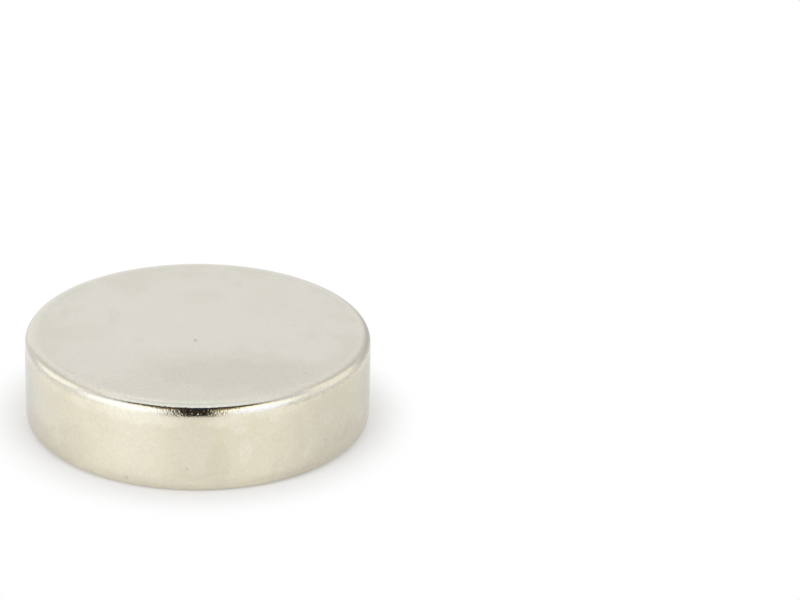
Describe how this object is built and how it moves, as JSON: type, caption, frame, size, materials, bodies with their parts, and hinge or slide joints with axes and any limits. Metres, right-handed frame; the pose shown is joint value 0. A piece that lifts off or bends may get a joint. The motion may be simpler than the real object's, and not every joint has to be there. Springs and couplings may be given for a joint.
{
  "type": "disc magnet",
  "caption": "Nickel-plated disc magnet with rounded edges, magnetised through its thickness, that holds by either flat pole face.",
  "frame": {"origin": "centre of the lower pole face, which the disc lies on", "axes": "+Z along the disc's axis, which is the direction of magnetisation, out of the upper pole face"},
  "size_m": [0.022, 0.022, 0.006],
  "materials": {
    "nickel_plating": "satin nickel plate, brighter on the rounded edges"
  },
  "bodies": {
    "root": {"magnet": "nickel_plating"}
  },
  "joints": []
}
